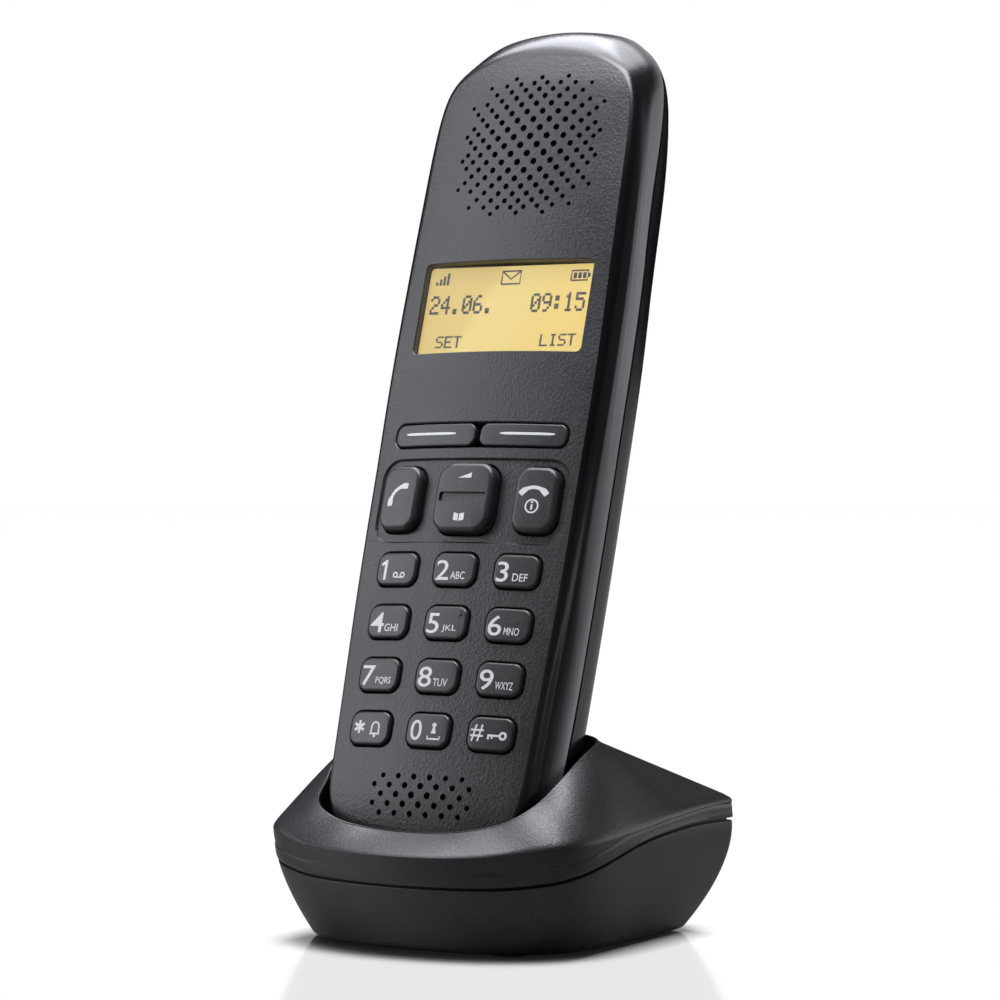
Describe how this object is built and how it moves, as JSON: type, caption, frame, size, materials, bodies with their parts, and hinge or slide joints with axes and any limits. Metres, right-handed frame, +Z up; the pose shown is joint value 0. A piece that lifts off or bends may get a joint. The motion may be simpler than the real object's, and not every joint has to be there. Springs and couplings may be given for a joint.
{
  "type": "cordless phone with base",
  "caption": "Cordless telephone handset with display, keypad and perforated earpiece, standing in a small sloped charging base with a pocket.",
  "frame": {"origin": "centre of the bounding box at floor level, under the base's feet", "axes": "+Z up, -Y out of the front of the base, +X to the right seen from the front; the handset leans back towards +Y"},
  "size_m": [0.0744, 0.065, 0.1598],
  "materials": {
    "face_plastic": "fine-grained matte dark grey",
    "shell_plastic": "gloss black",
    "window": "clear flat lens",
    "display": "amber backlit panel in a dark frame",
    "shield_metal": "tinned sheet",
    "board": "green solder mask",
    "silicone": "matte silicone",
    "driver": "black moulded frame",
    "cell_sleeve": "satin sleeve over a metal can",
    "spring_metal": "nickel plated",
    "contact_metal": "plated",
    "base_plastic": "satin black",
    "key_plastic": "satin black with white symbols",
    "foot_rubber": "matte",
    "screw_steel": "blackened",
    "capacitor_can": "sleeved can",
    "socket_plastic": "moulded"
  },
  "bodies": {
    "base": {"base_top_shell": "base_plastic", "base_bottom_shell": "base_plastic", "base_feet": "foot_rubber", "base_screws": "screw_steel", "base_circuit_board": "board", "base_shield": "shield_metal", "base_capacitors": "capacitor_can", "line_socket": "socket_plastic", "line_socket_contacts": "contact_metal", "power_socket": "socket_plastic", "power_socket_pin": "contact_metal", "paging_switch": "socket_plastic"},
    "handset": {"front_shell": "face_plastic", "back_shell": "shell_plastic", "display_window": "window", "display_module": "display", "handset_shield": "shield_metal", "handset_circuit_board": "board", "keypad_mat": "silicone", "earpiece_gasket": "silicone", "earpiece_speaker": "driver", "microphone": "driver", "microphone_boot": "silicone", "ringer_speaker": "driver", "battery_cells": "cell_sleeve", "battery_contacts": "spring_metal", "battery_springs": "spring_metal", "handset_charge_contacts": "contact_metal"},
    "key_1": {"key_1": "key_plastic"},
    "key_2": {"key_2": "key_plastic"},
    "key_3": {"key_3": "key_plastic"},
    "key_4": {"key_4": "key_plastic"},
    "key_5": {"key_5": "key_plastic"},
    "key_6": {"key_6": "key_plastic"},
    "key_7": {"key_7": "key_plastic"},
    "key_8": {"key_8": "key_plastic"},
    "key_9": {"key_9": "key_plastic"},
    "key_star": {"key_star": "key_plastic"},
    "key_0": {"key_0": "key_plastic"},
    "key_hash": {"key_hash": "key_plastic"},
    "talk_key": {"talk_key": "key_plastic"},
    "nav_key": {"nav_key": "key_plastic"},
    "end_key": {"end_key": "key_plastic"},
    "soft_key_left": {"soft_key_left": "key_plastic"},
    "soft_key_right": {"soft_key_right": "key_plastic"},
    "battery_cover": {"battery_cover": "shell_plastic"},
    "paging_button": {"paging_button": "key_plastic"},
    "charge_contact_left": {"charge_contact_left": "contact_metal"},
    "charge_contact_right": {"charge_contact_right": "contact_metal"}
  },
  "joints": [
    {"name": "handset_lift", "type": "slide", "parent": "base", "child": "handset", "axis": [0, 0.297, 0.9549], "range_m": [0, 0.06]},
    {"name": "key_1_press", "type": "slide", "parent": "handset", "child": "key_1", "axis": [0, 0.9549, -0.297], "range_m": [0, 0.0006], "stiffness_N_per_m": 300, "springref_m": -0.0005},
    {"name": "key_2_press", "type": "slide", "parent": "handset", "child": "key_2", "axis": [0, 0.9549, -0.297], "range_m": [0, 0.0006], "stiffness_N_per_m": 300, "springref_m": -0.0005},
    {"name": "key_3_press", "type": "slide", "parent": "handset", "child": "key_3", "axis": [0, 0.9549, -0.297], "range_m": [0, 0.0006], "stiffness_N_per_m": 300, "springref_m": -0.0005},
    {"name": "key_4_press", "type": "slide", "parent": "handset", "child": "key_4", "axis": [0, 0.9549, -0.297], "range_m": [0, 0.0006], "stiffness_N_per_m": 300, "springref_m": -0.0005},
    {"name": "key_5_press", "type": "slide", "parent": "handset", "child": "key_5", "axis": [0, 0.9549, -0.297], "range_m": [0, 0.0006], "stiffness_N_per_m": 300, "springref_m": -0.0005},
    {"name": "key_6_press", "type": "slide", "parent": "handset", "child": "key_6", "axis": [0, 0.9549, -0.297], "range_m": [0, 0.0006], "stiffness_N_per_m": 300, "springref_m": -0.0005},
    {"name": "key_7_press", "type": "slide", "parent": "handset", "child": "key_7", "axis": [0, 0.9549, -0.297], "range_m": [0, 0.0006], "stiffness_N_per_m": 300, "springref_m": -0.0005},
    {"name": "key_8_press", "type": "slide", "parent": "handset", "child": "key_8", "axis": [0, 0.9549, -0.297], "range_m": [0, 0.0006], "stiffness_N_per_m": 300, "springref_m": -0.0005},
    {"name": "key_9_press", "type": "slide", "parent": "handset", "child": "key_9", "axis": [0, 0.9549, -0.297], "range_m": [0, 0.0006], "stiffness_N_per_m": 300, "springref_m": -0.0005},
    {"name": "key_star_press", "type": "slide", "parent": "handset", "child": "key_star", "axis": [0, 0.9549, -0.297], "range_m": [0, 0.0006], "stiffness_N_per_m": 300, "springref_m": -0.0005},
    {"name": "key_0_press", "type": "slide", "parent": "handset", "child": "key_0", "axis": [0, 0.9549, -0.297], "range_m": [0, 0.0006], "stiffness_N_per_m": 300, "springref_m": -0.0005},
    {"name": "key_hash_press", "type": "slide", "parent": "handset", "child": "key_hash", "axis": [0, 0.9549, -0.297], "range_m": [0, 0.0006], "stiffness_N_per_m": 300, "springref_m": -0.0005},
    {"name": "talk_key_press", "type": "slide", "parent": "handset", "child": "talk_key", "axis": [0, 0.9549, -0.297], "range_m": [0, 0.0006], "stiffness_N_per_m": 300, "springref_m": -0.0005},
    {"name": "end_key_press", "type": "slide", "parent": "handset", "child": "end_key", "axis": [0, 0.9549, -0.297], "range_m": [0, 0.0006], "stiffness_N_per_m": 300, "springref_m": -0.0005},
    {"name": "soft_key_left_press", "type": "slide", "parent": "handset", "child": "soft_key_left", "axis": [0, 0.9549, -0.297], "range_m": [0, 0.0006], "stiffness_N_per_m": 300, "springref_m": -0.0005},
    {"name": "soft_key_right_press", "type": "slide", "parent": "handset", "child": "soft_key_right", "axis": [0, 0.9549, -0.297], "range_m": [0, 0.0006], "stiffness_N_per_m": 300, "springref_m": -0.0005},
    {"name": "nav_key_rock", "type": "hinge", "parent": "handset", "child": "nav_key", "pos_m": [0, -0.00558, 0.0755], "axis": [1, 0, 0], "range_deg": [-4, 4], "stiffness_Nm_per_rad": 0.05},
    {"name": "battery_cover_open", "type": "hinge", "parent": "handset", "child": "battery_cover", "pos_m": [0, 0.00851, 0.04404], "axis": [-1, 0, 0], "range_deg": [0, 70]},
    {"name": "paging_button_press", "type": "slide", "parent": "base", "child": "paging_button", "axis": [0, -1, 0], "range_m": [0, 0.0008], "stiffness_N_per_m": 400, "springref_m": -0.0005},
    {"name": "charge_contact_left_dip", "type": "slide", "parent": "base", "child": "charge_contact_left", "axis": [0, -0.297, -0.9549], "range_m": [0, 0.0006], "stiffness_N_per_m": 300, "springref_m": -0.0005},
    {"name": "charge_contact_right_dip", "type": "slide", "parent": "base", "child": "charge_contact_right", "axis": [0, -0.297, -0.9549], "range_m": [0, 0.0006], "stiffness_N_per_m": 300, "springref_m": -0.0005}
  ]
}
